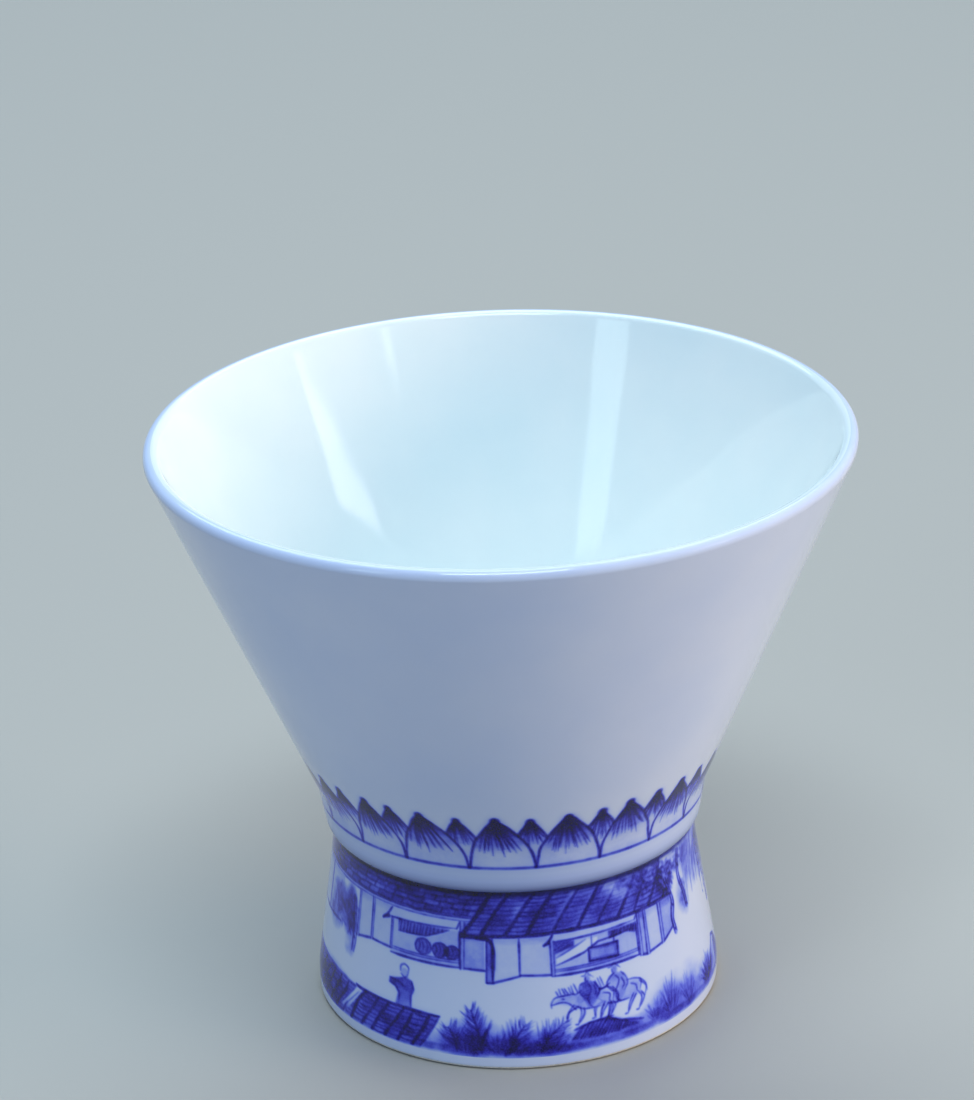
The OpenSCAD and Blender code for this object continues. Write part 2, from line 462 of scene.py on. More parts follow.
    def wrap(self, piece, attribute):
        """Gives each vertex of a turned piece the darkness at its place on the sheet."""
        place = np.empty(len(piece.data.vertices) * 3)
        piece.data.vertices.foreach_get("co", place)
        place = place.reshape(-1, 3) / MM
        angle = np.arctan2(place[:, 0], -place[:, 1])
        tone = self.settled()
        u = angle * MEAN_R * self.fine - 0.5
        v = np.clip((place[:, 2] - self.low) * self.fine - 0.5, 0, tone.shape[0] - self.SHORT)
        layer = piece.data.attributes.new(attribute, "FLOAT", "POINT")
        layer.data.foreach_set("value", sampled(tone, v, u).astype(np.float32))


def sampled(grid, row, column, smooth=False):
    """The grid's value between its rows and columns. Its last column meets its first."""
    i, j = np.floor(row).astype(int), np.floor(column).astype(int)
    up, across = row - i, column - j
    if smooth:
        up, across = (1 - np.cos(math.pi * up)) / 2, (1 - np.cos(math.pi * across)) / 2
    j, k = j % grid.shape[1], (j + 1) % grid.shape[1]
    low = grid[i, j] * (1 - across) + grid[i, k] * across
    high = grid[i + 1, j] * (1 - across) + grid[i + 1, k] * across
    return low * (1 - up) + high * up


def run(ink, step, times):
    """The ink run out over the cells up to so many times step away."""
    edge = step * times
    ink = np.pad(ink, ((edge, edge), (0, 0)))
    for axis in (0, 1):
        for _ in range(times):
            ink = (np.roll(ink, step, axis) + 2 * ink + np.roll(ink, -step, axis)) / 4
    return ink[edge:-edge]


def straight_path(points, t):
    """Places at each t along the points, joined by straight lines."""
    return np.column_stack([np.interp(t, np.arange(len(points)), points[:, k]) for k in (0, 1)])


def smooth_path(points, t):
    """Places at each t along a smooth curve through the points."""
    ends = np.vstack([2 * points[0] - points[1], points, 2 * points[-1] - points[-2]])
    i = np.clip(t.astype(int), 0, len(points) - 2)
    s = (t - i)[:, None]
    p, q, r, w = ends[i], ends[i + 1], ends[i + 2], ends[i + 3]
    return 0.5 * (2 * q + (r - p) * s + (2 * p - 5 * q + 4 * r - w) * s ** 2
                  + (3 * q - p - 3 * r + w) * s ** 3)


BLOB_POINTS = 18


def blob(x, z, wide, tall, lumps=0.0, turn=0.0):
    """A closed round outline, with as much lumpiness as asked for."""
    spots = []
    for t in np.arange(BLOB_POINTS) * 2 * math.pi / BLOB_POINTS:
        swell = 1 + lumps * math.sin(3 * t + turn) + lumps * 0.6 * math.sin(5 * t + 2 * turn)
        spots.append((x + wide / 2 * swell * math.cos(t), z + tall / 2 * swell * math.sin(t)))
    return spots


def box(left, right, low, high):
    """The corners of an upright rectangle."""
    return [(left, low), (right, low), (right, high), (left, high)]


def limits(outline):
    """The left, bottom, right and top of an outline."""
    return *np.min(outline, 0), *np.max(outline, 0)


def inked(sheet, spots, width, ink, **style):
    """Joins the spots with one straight-sided line."""
    sheet.line(spots, width, ink, curved=False, **style)


def blade(sheet, start, reach, bow, width, ink, **style):
    """A curved stroke that runs from start as far as reach, with its middle moved by bow."""
    start, reach = np.array(start), np.array(reach)
    sheet.line([start, start + reach / 2 + bow, start + reach], width, ink, **style)


def placed(x, z, wide, tall):
    """A function that takes spots drawn round 0, 0 to the sheet, that much wider and taller."""
    return lambda *spots: [(x + a * wide, z + b * tall) for a, b in spots]


# ------------------------------------------------------------------ petals

PETALS = 20
FRONT_TIPS = [-15.3, -9.1, -1.8, 5.2, 11.6, 18.2]  # tips of the big petals at the front
FRONT_GAPS = [-12.0, -4.8, 2.2, 9.2, 15.6]         # where those petals meet on the line
PETAL_LINE_Z = 23.9
PETAL_TIP_Z = 30.75
SMALL_FOOT_Z = 25.2                                # foot of the small petals, hidden by the big ones


def petal_outline(feet, tip):
    """Both sides of a pointed petal, up the left one and down the right one."""
    rise = np.array([0, 0.18, 0.36, 0.54, 0.70, 0.84, 0.94, 1.0])
    width = np.array([1, 0.95, 0.85, 0.69, 0.50, 0.29, 0.12, 0.0])
    left, right = (list(zip(tip[0] + (x - tip[0]) * width, z + (tip[1] - z) * rise)) for x, z in feet)
    return left, right[::-1]


def petal(sheet, feet, tip, reach, strokes, ink):
    """One petal: dark at its tip, with strokes that fan down from it and fade."""
    left, right = petal_outline(feet, tip)
    whole = left + right[1:]
    middle = (feet[0][0] + feet[1][0]) / 2
    half = (feet[1][0] - feet[0][0]) / 2
    x, z = tip
    sheet.clear(whole, soft=0.08)
    sheet.wash(whole, 0.12, mottled=0.5)
    for depth, share, soft in ((1.0, 0.5, 0.5), (0.6, 0.75, 0.4), (0.3, 1.3, 0.25)):
        sheet.within(whole, sheet.wash, blob(x, z, half * 2.6, reach * depth * 2), ink * share, soft=soft,
                     pool=0, fade=((x, z - 0.1), (x, z - reach * depth)))

    def fan():
        for k in range(strokes):
            spread = (k + 0.5) / strokes * 2 - 1 + sheet.vary(-0.09, 0.09)
            end = z - reach + sheet.vary(-0.6, 0.7) + abs(spread) ** 2 * 0.8
            foot = x + (middle - x) * 0.7 + spread * half * 0.74
            stroke = [(x + spread * 0.25, z - 0.4), (x + spread * half * 0.38, z - reach * 0.40), (foot, end)]
            sheet.line(stroke, 0.14, ink * sheet.vary(0.45, 0.85), thin=(0.9, 0.1), soft=0.055)

    sheet.within(whole, fan)
    for side in (left, right[::-1]):
        sheet.line(side, 0.26, ink * 0.62, thin=(0.7, 1.0), soft=0.07)
    sheet.line([tip, (x, z - 0.8)], 0.7, ink, thin=(0.4, 0.6), soft=0.2)


def paint_petals(sheet):
    """Big petals that meet at the line under them, and a small one behind each gap."""
    others = range(1, PETALS + 1 - len(FRONT_TIPS))
    step = (GIRTH + FRONT_TIPS[0] - FRONT_TIPS[-1]) / (PETALS + 1 - len(FRONT_TIPS))
    tips = FRONT_TIPS + [FRONT_TIPS[-1] + step * k for k in others]
    following = tips[1:] + [tips[0] + GIRTH]
    gaps = [(a + b) / 2 + sheet.vary(0.1, 0.6) for a, b in zip(tips, following)]
    gaps[:len(FRONT_GAPS)] = FRONT_GAPS
    for gap in gaps:
        x = gap - sheet.vary(0.4, 0.8)
        tip = (x, PETAL_TIP_Z + sheet.vary(-0.15, 0.1))
        petal(sheet, ((x - 2.0, SMALL_FOOT_Z), (x + 2.4, SMALL_FOOT_Z)), tip, 4.0, 8, sheet.vary(2.4, 3.0))
    for x, before, after in zip(tips, [gaps[-1] - GIRTH] + gaps[:-1], gaps):
        feet = ((before + 0.06, PETAL_LINE_Z), (after - 0.06, PETAL_LINE_Z))
        tip = (x, PETAL_TIP_Z + sheet.vary(-0.1, 0.15))
        petal(sheet, feet, tip, 5.1, 12, sheet.vary(2.7, 3.4))
    sheet.belt(PETAL_LINE_Z - 0.15, PETAL_LINE_Z + 0.15, 1.2, soft=0.08, mottled=0.5)


# ------------------------------------------------------------------ parts of the village scene

BRICK_WIDE = 1.9
BRICK_TALL = 0.66
LEAF = 0.9          # length of a leaf


def hatching(sheet, outline, lean, gap, width, ink):
    """Parallel strokes inside an outline. lean is how far each goes sideways for its height."""
    left, low, right, high = limits(outline)
    reach = lean * (high - low)

    def strokes():
        x = left - max(reach, 0)
        while x < right - min(reach, 0):
            inked(sheet, [(x, low), (x + reach, high)], width, ink * sheet.vary(0.7, 1.2))
            x += gap * sheet.vary(0.75, 1.25)

    sheet.within(outline, strokes)


def tiled_roof(sheet, outline, lean, gap, course, wash, ink):
    """A roof: a wash, short wavy courses of tiles, and dark ridges that lean to one side."""
    left, low, right, high = limits(outline)
    tall = high - low
    sheet.over(outline, wash, mottled=0.5)

    def up(x, share):
        return (x + lean * tall * share, low + tall * share)

    def tiles():
        x = left - max(lean * tall, 0) - gap
        while x < right - min(lean * tall, 0):
            shade = sheet.vary(0.55, 1.3)
            z = low + sheet.vary(0, course)
            while z < high:
                at = x + lean * (z - low)
                dip = sheet.vary(-0.14, 0.06)
                sheet.line([(at + 0.1, z), (at + gap / 2, z + dip), (at + gap - 0.1, z + 0.05)],
                           0.17, ink * 0.6 * shade, thin=(0.6, 0.3), soft=0.07)
                z += course * sheet.vary(0.8, 1.25)
            bow, end = sheet.vary(-0.3, 0.3), sheet.vary(-0.4, 0.4)
            sheet.line([up(x, 0), up(x + bow / 2, 0.3), up(x + bow, 0.65), up(x + end, 1)],
                       sheet.vary(0.26, 0.4), ink * sheet.vary(0.8, 1.4), thin=(1, 0.5), soft=0.1)
            first, last = sheet.vary(0, 0.5), sheet.vary(0.5, 1)
            across = x + gap * 0.8
            sheet.wash([up(x, first), up(across, first), up(across, last), up(x, last)], 0.55 * shade,
                       soft=0.35, mottled=0.9)
            x += gap * sheet.vary(0.85, 1.15)

    sheet.within(outline, tiles)


def brick_roof(sheet, outline, wash, ink):
    """A roof seen from further off: rows of tiles like brickwork, darker towards the top."""
    left, low, right, high = limits(outline)
    sheet.over(outline, wash, mottled=0.6)
    sheet.within(outline, sheet.wash, box(left, right, high - 1.4, high + 1), 0.8, soft=0.9, mottled=0.9)

    def tiles():
        z, row = low + 0.2, 0
        while z < high:
            x = left - BRICK_WIDE + (row % 2) * BRICK_WIDE / 2
            while x < right:
                end, top = x + BRICK_WIDE * sheet.vary(0.7, 1.15), z + BRICK_TALL
                sheet.line([(x, z), ((x + end) / 2, z + sheet.vary(-0.12, 0.05)), (end, z)],
                           0.18, ink * sheet.vary(0.4, 1.1), thin=(0.5, 0.3), soft=0.08)
                sheet.line([(end, z), (end + 0.35, top)], 0.18, ink * sheet.vary(0.3, 1.1), soft=0.08)
                if sheet.vary() < 0.5:
                    sheet.wash([(x, z), (end, z), (end + 0.25, top), (x + 0.25, top)],
                               sheet.vary(0.2, 0.7), soft=0.18)
                x = end
            z, row = z + BRICK_TALL * sheet.vary(0.9, 1.1), row + 1

    sheet.within(outline, tiles)


def post(sheet, x, low, high, width=0.34, ink=1.5):
    """An upright post: two lines with a light wash between them."""
    shape = box(x - width / 2, x + width / 2, low, high)
    sheet.over(shape, 0.35, soft=0.06)
    inked(sheet, [shape[3], shape[0]], 0.15, ink, thin=(0.8, 0.8))
    inked(sheet, [shape[2], shape[1]], 0.12, ink * 0.7, thin=(0.8, 0.8))


def awning(sheet, left, right, top, drop, out=1.3):
    """A pale cloth awning that hangs out to the left, with a dark folded corner."""
    at = placed(left, top, out, drop)
    fold, hem_left, corner = at((-0.45, -0.8), (-0.3, -1), (-1, -1.35))
    hem_right = (right - 0.4, top - drop * 0.75)
    sheet.over([(left, top), (right, top), hem_right, hem_left, corner], 0.10)
    sheet.line([(left, top - 0.05), fold, corner], 0.24, 1.7, thin=(0.5, 0.9))
    sheet.wash(at((-0.35, -0.85), (-0.2, -1.15), (-1, -1.45), (-0.9, -1.2)), 1.7, soft=0.08)
    inked(sheet, [hem_left, hem_right], 0.2, 1.3)
    inked(sheet, [hem_right, (right, top)], 0.18, 1.2)


def pot(sheet, x, z, size, ink):
    """A round pot: a dark outline, a wash, and a few strokes round its side."""
    at = placed(x, z, size, size)
    side = blob(x, z, size, size * 0.95)
    sheet.wash(blob(x, z, size, size * 0.95, 0.03), ink * 0.55, pool=0.6, mottled=0.9, soft=0.1)
    sheet.line(side + side[:1], 0.15, 1.2)
    for k in range(4):
        t = k / 4 - 0.3
        sheet.line(at((t, 0.32), (t + 0.12, 0), (t, -0.35)), 0.16, ink * sheet.vary(0.5, 0.9),
                   thin=(0.3, 0.3), soft=0.08)


def stall(sheet, left, right, low, high, pots, lattice=True):
    """The open front of a shop, with a lattice under the awning, goods and a counter."""
    front = box(left, right, low, high)
    sheet.over(front, 0.2, left=0.3, mottled=0.8)
    if lattice:
        shape = [(left + 0.9, high - 1.4), (left + 0.9, high), (right - 1.6, high), (left + 4.6, high - 1.1)]
        sheet.wash(shape, 0.7, soft=0.1)
        hatching(sheet, shape, 0.15, 0.42, 0.2, 1.1)
        inked(sheet, [shape[0], shape[3], shape[2]], 0.16, 1.3)
    for x, size, ink in pots:
        pot(sheet, x, low + 0.75 + size / 2, size, ink)
    for z in (low + 0.72, low + 0.5):
        inked(sheet, [(left, z), ((left + right) / 2, z - 0.05), (right, z)], 0.15, 1.1)
    inked(sheet, [(left, low), (right, low - 0.05)], 0.26, 1.6)
    inked(sheet, [(right - 0.35, high), (right - 0.35, low)], 0.2, 1.5)


def wall(sheet, spots, high, shade=0.09):
    """A plastered wall over a base line through the spots, shaded under the eave."""
    left, right = spots[0][0], spots[-1][0]
    shape = spots + [(right, high), (left, high)]
    sheet.over(shape, shade, soft=0.1, pool=0.8)
    sheet.within(shape, sheet.wash, box(left, right, high - 0.6, high), shade * 1.6, soft=0.3)
    inked(sheet, spots, 0.24, 1.4, thin=(0.8, 0.8))


def tuft(sheet, x, z, wide, tall, blades, ink=1):
    """A clump of long needles that fan up and out from the ground, on a soft wash."""
    sheet.wash(blob(x, z + tall * 0.3, wide * 0.95, tall * 0.8, 0.08), 0.28, soft=0.8, pool=0, mottled=0.9)
    for k in range(blades):
        way = (k + sheet.vary(0, 1)) / blades * 2 - 1
        size = (1 - 0.25 * abs(way)) * sheet.vary(0.5, 1.05)
        start = (x + way * wide * 0.16, z + sheet.vary(-0.05, 0.2) * tall)
        reach = (math.sin(way * 1.15) * wide * 0.45 * size, math.cos(way * 1.15) * tall * size)
        blade(sheet, start, reach, (way * 0.1, 0.12), 0.12, ink * sheet.vary(0.3, 0.9), thin=(0.6, 0.15),
              soft=0.055)


def sprig(sheet, x, z, across, tall, needles):
    """A pine sprig: a dark stem with long needles all along both of its sides."""
    stem = np.array([(x, z), (x + across * 0.35, z + tall * 0.5), (x + across, z + tall)])
    sheet.wash(blob(x + across * 0.4, z + tall * 0.4, 3.2, tall * 0.9, 0.08), 0.25, soft=0.8, pool=0,
               mottled=0.9)
    sheet.line(stem, 0.2, 1, thin=(1, 0.2))
    heading = math.atan2(tall, across)
    for k in range(needles * 2):
        t = (k + sheet.vary(0.2, 0.9)) / needles / 2
        start = smooth_path(stem, np.array([t * 1.99]))[0]
        for side in (-1, 1):
            way = heading + side * sheet.vary(0.35, 0.85)
            size = (3.5 - 2.3 * t) * sheet.vary(0.55, 1.05)
            reach = (math.cos(way) * size, math.sin(way) * size)
            blade(sheet, start, reach, (0, -0.12), 0.11, sheet.vary(0.3, 0.85), thin=(0.9, 0.2))


def haze(sheet, *patches):
    """Blurred patches of dilute cobalt, each a middle, a width, a height and an amount."""
    for x, z, wide, tall, ink in patches:
        sheet.wash(blob(x, z, wide, tall, 0.1, turn=x), ink, soft=min(wide, tall) * 0.3, pool=0, mottled=0.9)


def scribble(sheet, x, z, wide, tall, count, ink, slant=0.6):
    """Leaves: many short curved strokes in a rounded patch, on a mottled wash."""
    sheet.wash(blob(x, z, wide, tall, 0.12, turn=x), ink * 0.5, soft=0.7, mottled=1)
    for _ in range(count):
        t, r = sheet.vary(0, 2 * math.pi), math.sqrt(sheet.vary(0, 1))
        start = (x + math.cos(t) * r * wide / 2, z + math.sin(t) * r * tall / 2)
        way = slant + sheet.chance.normal(0, 0.7)
        reach = (math.cos(way) * LEAF, math.sin(way) * LEAF * 0.8)
        blade(sheet, start, reach, (sheet.vary(-0.2, 0.2), 0.15), sheet.vary(0.16, 0.36),
              ink * sheet.vary(0.3, 0.9), thin=(0.4, 0.2), soft=0.12)


def trunk(sheet, spots, width, ink=1.4):
    """A tree trunk, dark down one side, with a pale wash and a few knots."""
    path = np.array(spots)
    sheet.line(path, width, 0.45, thin=(0.5, 1), soft=0.1)
    sheet.line(path + (-width * 0.4, 0), 0.2, ink, thin=(0.5, 1), shake=0.06)
    sheet.line(path + (width * 0.45, 0), 0.15, ink * 0.8, thin=(0.4, 1), shake=0.08)
    for a, b in zip(path[:-1], path[1:]):
        spot = a + (b - a) * sheet.vary(0.2, 0.8)
        sheet.line([spot, spot + (width * 0.3, -0.25)], 0.2, ink, soft=0.06)


def willow(sheet, x, z, top, wide):
    """A willow: a leaning trunk with long hanging twigs."""
    trunk(sheet, [(x, z), (x + 0.5, z + (top - z) * 0.5), (x - 0.2, top)], 0.75)
    for _ in range(26):
        start = (x + sheet.vary(-0.5, 0.5) * wide * 0.8, top + sheet.vary(-0.8, 0.5))
        side = (start[0] - x) / wide
        drop = sheet.vary(0.45, 0.8) * (top - z)
        twig = [start, (start[0] + side * 1.6, start[1] - drop * 0.25),
                (start[0] + side * 2.1, start[1] - drop)]
        sheet.line(twig, 0.16, sheet.vary(0.6, 1.3), thin=(0.8, 0.2), soft=0.07)
        for t in np.arange(0.2, 1, 0.13):
            at = smooth_path(np.array(twig), np.array([t * 2]))[0]
            leaf = (sheet.chance.choice([-0.35, 0.35]), -0.4)
            sheet.line([at, at + leaf], 0.15, sheet.vary(0.4, 0.9), thin=(0.8, 0.2), soft=0.06)
    sheet.wash(blob(x, top - 1.2, wide * 1.1, 3.6, 0.1), 0.25, soft=0.9, mottled=1)


def walker(sheet, x, z, tall, face=1):
    """A tiny standing figure in a robe and a round hat, with a blank head. Drawn 4.6 tall."""
    scale = tall / 4.6
    ink = 0.85
    at = placed(x, z, face * scale, scale)
    robe = at((-1.05, 0), (1, 0.05), (0.85, 1.4), (1.15, 2.2), (0.95, 3), (0.1, 3.35), (-0.8, 3),
              (-2, 2.75), (-2.05, 2.2), (-1.2, 1.95), (-0.75, 1.3))
    sheet.over(robe, ink * 1.4, left=0.1, pool=0.5, mottled=0.6,
               fade=((x, z + 2.6 * scale), (x, z - 1.2 * scale)))
    sheet.line(at((-1, 0.1), (-0.1, -0.1), (0.95, 0.1)), 0.12, ink * 0.7)
    sheet.line(at((-0.7, 0.1), (-0.65, 1.3), (-1.2, 1.95), (-2, 2.25)), 0.15, ink * 0.9)
    sheet.line(at((0.9, 0.1), (0.85, 1.4), (1.15, 2.2), (0.8, 3.1)), 0.18, ink * 1.1)
    sheet.line(at((-2, 2.7), (-0.9, 2.6), (0.1, 2.2)), 0.18, ink * 1.3)
    head = blob(x - face * 0.1 * scale, z + 3.8 * scale, 0.9 * scale, scale)
    sheet.over(head, 0.3, soft=0.08)
    sheet.line(head[10:] + head[:2], 0.13, ink)
    hat = at((-0.65, 3.95), (-0.55, 4.5), (-0.05, 4.7), (0.4, 4.45), (0.45, 3.9))
    sheet.line(hat, 0.2, ink * 1.1, thin=(0.5, 0.5))


def horse_and_rider(sheet, x, z, tall, wash):
    """A rider on a walking horse that faces left, in thin broken strokes over a light wash. Drawn 5.6
    tall."""
    scale = tall / 5.6
    at = placed(x, z, scale, scale)

    def sketch(width, ink, *lines):
        for line in lines:
            sheet.line(at(*line), width, ink * sheet.vary(0.8, 1.15), thin=(0.5, 0.2), soft=0.06, shake=0.06)

    body = at((-4.4, 2.6), (-3.3, 3.4), (-1.5, 3.2), (0.2, 2.9), (1.7, 3.1), (2.4, 2.4), (2.1, 1.4),
              (0.9, 1.2), (-1.2, 1.3), (-2.4, 1.9), (-3.6, 2.3))
    sheet.over(body, 0.22, left=0.2, soft=0.25, mottled=1)
    sketch(0.13, 1.2,
           ((-2.2, 3.2), (-3.2, 3.3), (-4.3, 3.1), (-4.75, 2.5), (-4.7, 2)),
           ((-4.6, 2.2), (-3.7, 2.5), (-2.8, 2.2), (-2.2, 1.6), (-2, 1.2)),
           ((-2.4, 1.9), (-1.2, 1.3), (0.9, 1.2)), ((-3.6, 2.9), (-3.3, 2.7)),
           ((0.5, 3.1), (1.7, 3.15), (2.5, 2.6), (2.4, 1.6)), ((1.2, 2.7), (1.9, 2.3), (1.9, 1.6)),
           ((2.3, 2.9), (3, 2.2), (3.1, 1.2)), ((2.4, 2.7), (2.9, 1.9), (2.8, 1)))
    for k in range(7):
        mane = -3.9 + k * 0.34
        sketch(0.12, 1.3, ((mane, 3.35), (mane - 0.3, 3.9 + 0.08 * k)))
    for hip, knee, foot in (((-2.2, 1.9), (-3, 1.2), (-3.1, 0.2)), ((-1.5, 1.5), (-1.5, 0.7), (-1.9, -0.4)),
                            ((1.3, 1.5), (0.9, 0.7), (0.6, -0.3)), ((2, 1.6), (2.3, 0.8), (1.9, -0.3))):
        sketch(0.16, 1.2, (hip, knee, foot), ((hip[0] + 0.4, hip[1] - 0.1), (knee[0] + 0.25, knee[1]), foot),
               ((foot[0] - 0.35, foot[1] - 0.05), foot))
    coat = at((-0.9, 2.4), (-1.5, 3.3), (-1.2, 4.1), (-0.4, 4.4), (0.4, 4), (0.8, 3), (0.4, 2.2),
              (-0.1, 1.6), (-0.6, 1.5))
    sheet.over(coat, wash, left=0.1, soft=0.2, pool=0.4, mottled=0.9)
    sketch(0.14, 1.3,
           ((-0.9, 2.4), (-1.5, 3.3), (-1.2, 4.1), (-0.5, 4.4)),
           ((0.1, 4.3), (0.7, 3.7), (0.8, 3), (0.4, 2.2)),
           ((-0.7, 2.4), (-0.5, 1.6), (-0.1, 1.2)), ((-0.5, 4.2), (-0.1, 3.4), (-0.6, 2.4)),
           ((-1.2, 3.5), (-2, 3.1), (-2.6, 3.3)), ((0.2, 3.7), (0.4, 3), (0.1, 2.5)))
    head = blob(x - 0.55 * scale, z + 4.75 * scale, 0.6 * scale, 0.75 * scale)
    sheet.over(head, 0.5)
    sketch(0.13, 1.2, ((-1.15, 5), (-0.75, 5.2), (-0.5, 5.6), (-0.3, 5.2), (0.15, 4.85)),
           ((-0.85, 4.9), (-0.8, 4.5), (-0.5, 4.35)))


def fence(sheet, left, right, z, tall):
    """A low fence of uneven stakes with two rails."""
    x = left
    while x < right:
        stake = [(x, z), (x + sheet.vary(-0.1, 0.1), z + tall * sheet.vary(0.85, 1.1))]
        inked(sheet, stake, 0.18, sheet.vary(0.8, 1.3))
        x += sheet.vary(0.6, 0.85)
    for share in (0.35, 0.75):
        inked(sheet, [(left, z + tall * share), (right, z + tall * share)], 0.14, 0.9)


def rock(sheet, x, z, wide, tall):
    """A rock: a broken outline with hatching on its right."""
    at = placed(x, z, wide, tall)
    shape = at((-0.5, 0), (-0.42, 0.55), (-0.1, 1), (0.25, 0.85), (0.5, 0.3), (0.5, 0))
    sheet.over(shape, 0.3, mottled=1)
    sheet.line(shape, 0.26, 1.3, curved=False, shake=0.08)
    right = at((0, 0), (0.02, 0.75)) + shape[3:]
    sheet.wash(right, 0.35, soft=0.2)
    hatching(sheet, right, 0.5, 0.3, 0.16, 1.1)


def hills(sheet, left, right, z, tall):
    """Far hills as pale washes that fade downwards, each under a broken line."""
    for place, share, rise, ink in ((0.15, 0.62, 0.8, 0.30), (0.8, 0.7, 1, 0.24)):
        x, wide, high = left + (right - left) * place, (right - left) * share, tall * rise
        shape = [(x + wide * (t - 0.5), z + high * math.sin(math.pi * t) ** 1.5
                  * (1 + 0.12 * math.sin(9 * t + x))) for t in np.linspace(0, 1, 14)]
        sheet.wash(shape, ink, soft=0.3, fade=((x, z + high), (x, z - 0.3)))
        sheet.line(shape[2:12], 0.2, 0.5, soft=0.12)


def bridge(sheet, left, right, z, rise):
    """An arched bridge with a rail, over water drawn in short level strokes."""
    t = np.linspace(0, 1, 11)
    x = left + (right - left) * t
    deck = z + rise * np.sin(math.pi * t)
    under = z - 0.9 + (rise - 0.4) * np.sin(math.pi * t) ** 0.8
    side = list(zip(x, deck)) + list(zip(x[::-1], under[::-1]))
    sheet.over(side, 0.35, mottled=0.9)
    for curve, width, ink in ((deck, 0.26, 1.5), (under, 0.22, 1.3), (deck + 1.1, 0.2, 1.3)):
        sheet.line(list(zip(x, curve)), width, ink)
    for a, b in zip(x, deck):
        inked(sheet, [(a, b), (a, b + 1.25)], 0.2, 1.3)
    for _ in range(14):
        a = sheet.vary(left + 1, right - 2.2)
        b = z - 1.1 - sheet.vary(0, 2.2)
        sheet.line([(a, b), (a + 0.8, b + 0.12), (a + 1.7, b)], 0.15, sheet.vary(0.4, 0.9))


def long_house(sheet, left, right, base, eave, top, posts):
    """A plain house: a brick-like roof over a white wall with posts."""
    middle = (left + right) / 2
    wall(sheet, [(left, base), (middle, base - 0.15), (right, base)], eave)
    for x in posts:
        post(sheet, x, base, eave, 0.35)
    roof = [(left - 1, eave), (right + 1, eave), (right - 0.2, top), (left + 0.6, top)]
    brick_roof(sheet, roof, 0.75, 1.5)
    inked(sheet, [(left - 1.2, eave - 0.02), (right + 1.1, eave)], 0.3, 1.3)
    inked(sheet, [(left - 1, eave - 0.45), (right + 0.9, eave - 0.45)], 0.14, 1)
    sheet.line([(left + 0.2, top + 0.1), (middle, top + 0.2), (right + 0.2, top + 0.1)], 0.36, 1.8)


# ------------------------------------------------------------------ the village scene

LEFT_EAVE = 16.8      # eave of the long building on the left of the front
RIGHT_EAVE = 15.1     # eave of the building on its right, which stands nearer
ROOF_TOP = 20.6       # past the top of the scene, which cuts the roofs off
GROUND = 2.3          # ground line of the foreground
NEAR_FOOT = 1.7       # foot of the roofs in the foreground


def paint_left_shops(sheet):
    """The long building on the left of the front: a far wing, plain walls and a stall with pots."""
    brick_roof(sheet, [(-39, 17.35), (-2, 17.25), (-1, ROOF_TOP), (-37.5, ROOF_TOP)], 0.9, 1.3)
    inked(sheet, [(-39.2, 17.3), (-16, 17.2), (-3.5, 17.2)], 0.24, 1.2)
    sheet.wash([(-38, 16.9), (-4, 16.9), (-4, 17.2), (-38, 17.3)], 0.2)
    inked(sheet, [(-38, 16.85), (-16, 16.8), (-4.5, 16.8)], 0.2, 1)
    wall(sheet, [(-37.6, 11), (-33, 11.3), (-28.6, 11.2), (-24.5, 11.4)], LEFT_EAVE)
    for x in (-37.5, -33, -28.6):
        post(sheet, x, 11.2, LEFT_EAVE)
    wall(sheet, [(-20.7, 11.5), (-17.9, 12.1)], LEFT_EAVE)
    wall(sheet, [(-17.9, 12.1), (-15, 12)], LEFT_EAVE)
    post(sheet, -20.5, 11.4, LEFT_EAVE, 0.3, 0.9)
    post(sheet, -18, 12, LEFT_EAVE, 0.32)
    stall(sheet, -15, -6.1, 11.55, 15.6, [(-10.8, 1.9, 1.2), (-8.75, 1.75, 1.6), (-7.3, 1.6, 1.3)])
    post(sheet, -15, 12, 15.6, 0.25, 1.2)
    awning(sheet, -15.1, -6.4, 16.75, 1.2)
    wall(sheet, [(-6.1, 11.5), (-3.7, 11.4)], 16.7, 0.35)
    post(sheet, -6.15, 11.4, 16.7, 0.42)


def paint_near_roof(sheet):
    """The tiled roof of the nearer building, in sunlight towards its right."""
    roof = [(-6, 15.35), (7, 15.45), (19.8, 15.4), (18.4, 17.4), (18.8, ROOF_TOP), (-2.3, ROOF_TOP)]
    tiled_roof(sheet, roof, 0.66, 2.6, 0.5, 0.8, 1.5)
    sheet.wash([(-6, 15.4), (1.5, 15.4), (3, 17.6), (-4.6, 17.6)], 0.5, soft=0.8, mottled=0.6)
    sheet.within([(8.5, 17.2), (17.5, 17.6), (18.5, ROOF_TOP), (11, ROOF_TOP)],
                 sheet.clear, blob(14, 19.2, 9, 3.6, 0.1), left=0.3, soft=0.9)
    sheet.line([(-6.2, 15.15), (0, 15.3), (7, 15.45), (14, 15.35), (19.8, 15.35)], 0.42, 1.8, thin=(1, 1))
    sheet.line([(-6.2, 15.2), (-4.5, 17.6), (-2.6, 20.5)], 0.42, 2, thin=(1, 0.8))


